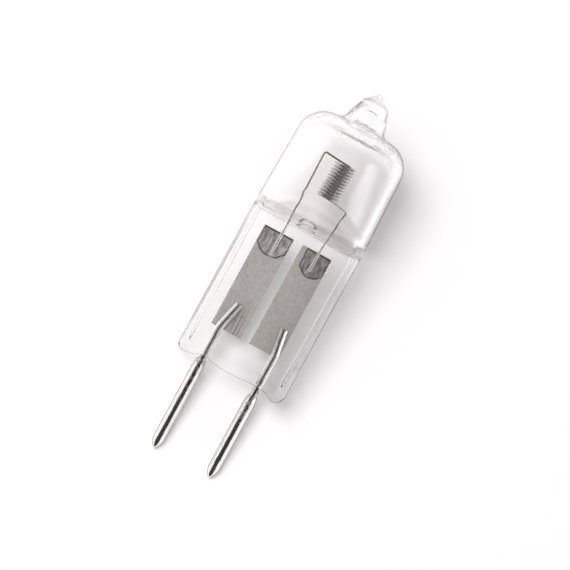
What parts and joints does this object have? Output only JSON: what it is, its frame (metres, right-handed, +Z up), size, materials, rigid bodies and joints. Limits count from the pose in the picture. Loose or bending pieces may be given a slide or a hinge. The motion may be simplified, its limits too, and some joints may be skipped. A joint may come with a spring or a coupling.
{
  "type": "halogen capsule bulb",
  "caption": "Clear quartz capsule lamp with a coiled filament, a flat pinched base and straight pointed contact pins, lying on its side.",
  "frame": {"origin": "on the surface that the lamp lies on, under the middle of its box", "axes": "+X towards the exhaust tip, +Y towards the left pin as seen from above, +Z up"},
  "size_m": [0.042, 0.0122, 0.0128],
  "materials": {
    "quartz_glass": "clear, fire polished",
    "tungsten": "drawn wire",
    "molybdenum_foil": "rolled and etched, matt",
    "molybdenum_rod": "drawn rod",
    "nickel_plate": "bright plated"
  },
  "bodies": {
    "root": {"quartz_envelope": "quartz_glass", "filament": "tungsten", "foil_left": "molybdenum_foil", "foil_right": "molybdenum_foil", "outer_lead_left": "molybdenum_rod", "outer_lead_right": "molybdenum_rod", "pin_sleeve_left": "nickel_plate", "pin_sleeve_right": "nickel_plate"}
  },
  "joints": []
}
